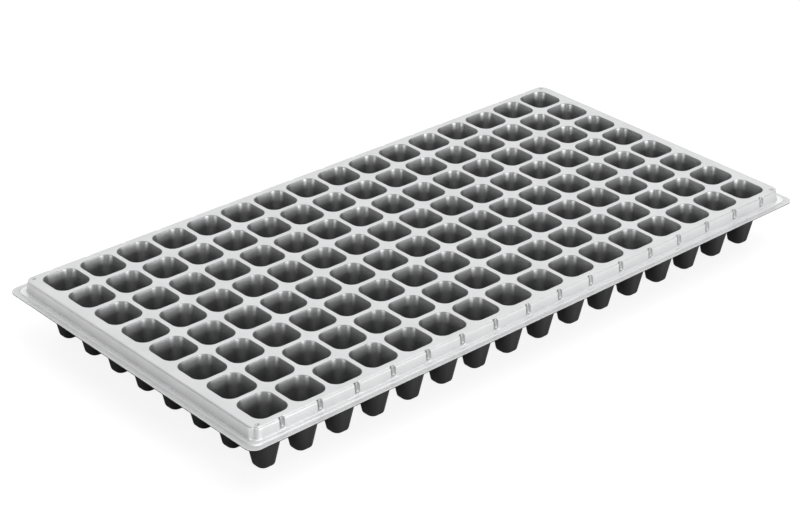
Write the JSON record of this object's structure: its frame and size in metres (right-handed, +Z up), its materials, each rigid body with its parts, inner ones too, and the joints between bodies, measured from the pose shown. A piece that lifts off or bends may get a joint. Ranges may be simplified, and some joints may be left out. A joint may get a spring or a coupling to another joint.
{
  "type": "plug tray",
  "caption": "Shallow formed plastic tray holding a close grid of tapered square cells with drain holes, inside a stepped rim with a flat flange.",
  "frame": {"origin": "centre of the tray's outline, on the ground under the cell bottoms", "axes": "+X along the long side, +Y along the short side, +Z up out of the cells"},
  "size_m": [0.54, 0.28, 0.045],
  "materials": {
    "silver_top_ply": "satin silver-grey",
    "black_base_ply": "satin black"
  },
  "bodies": {
    "root": {"silver_top_ply": "silver_top_ply", "black_base_ply": "black_base_ply"}
  },
  "joints": []
}
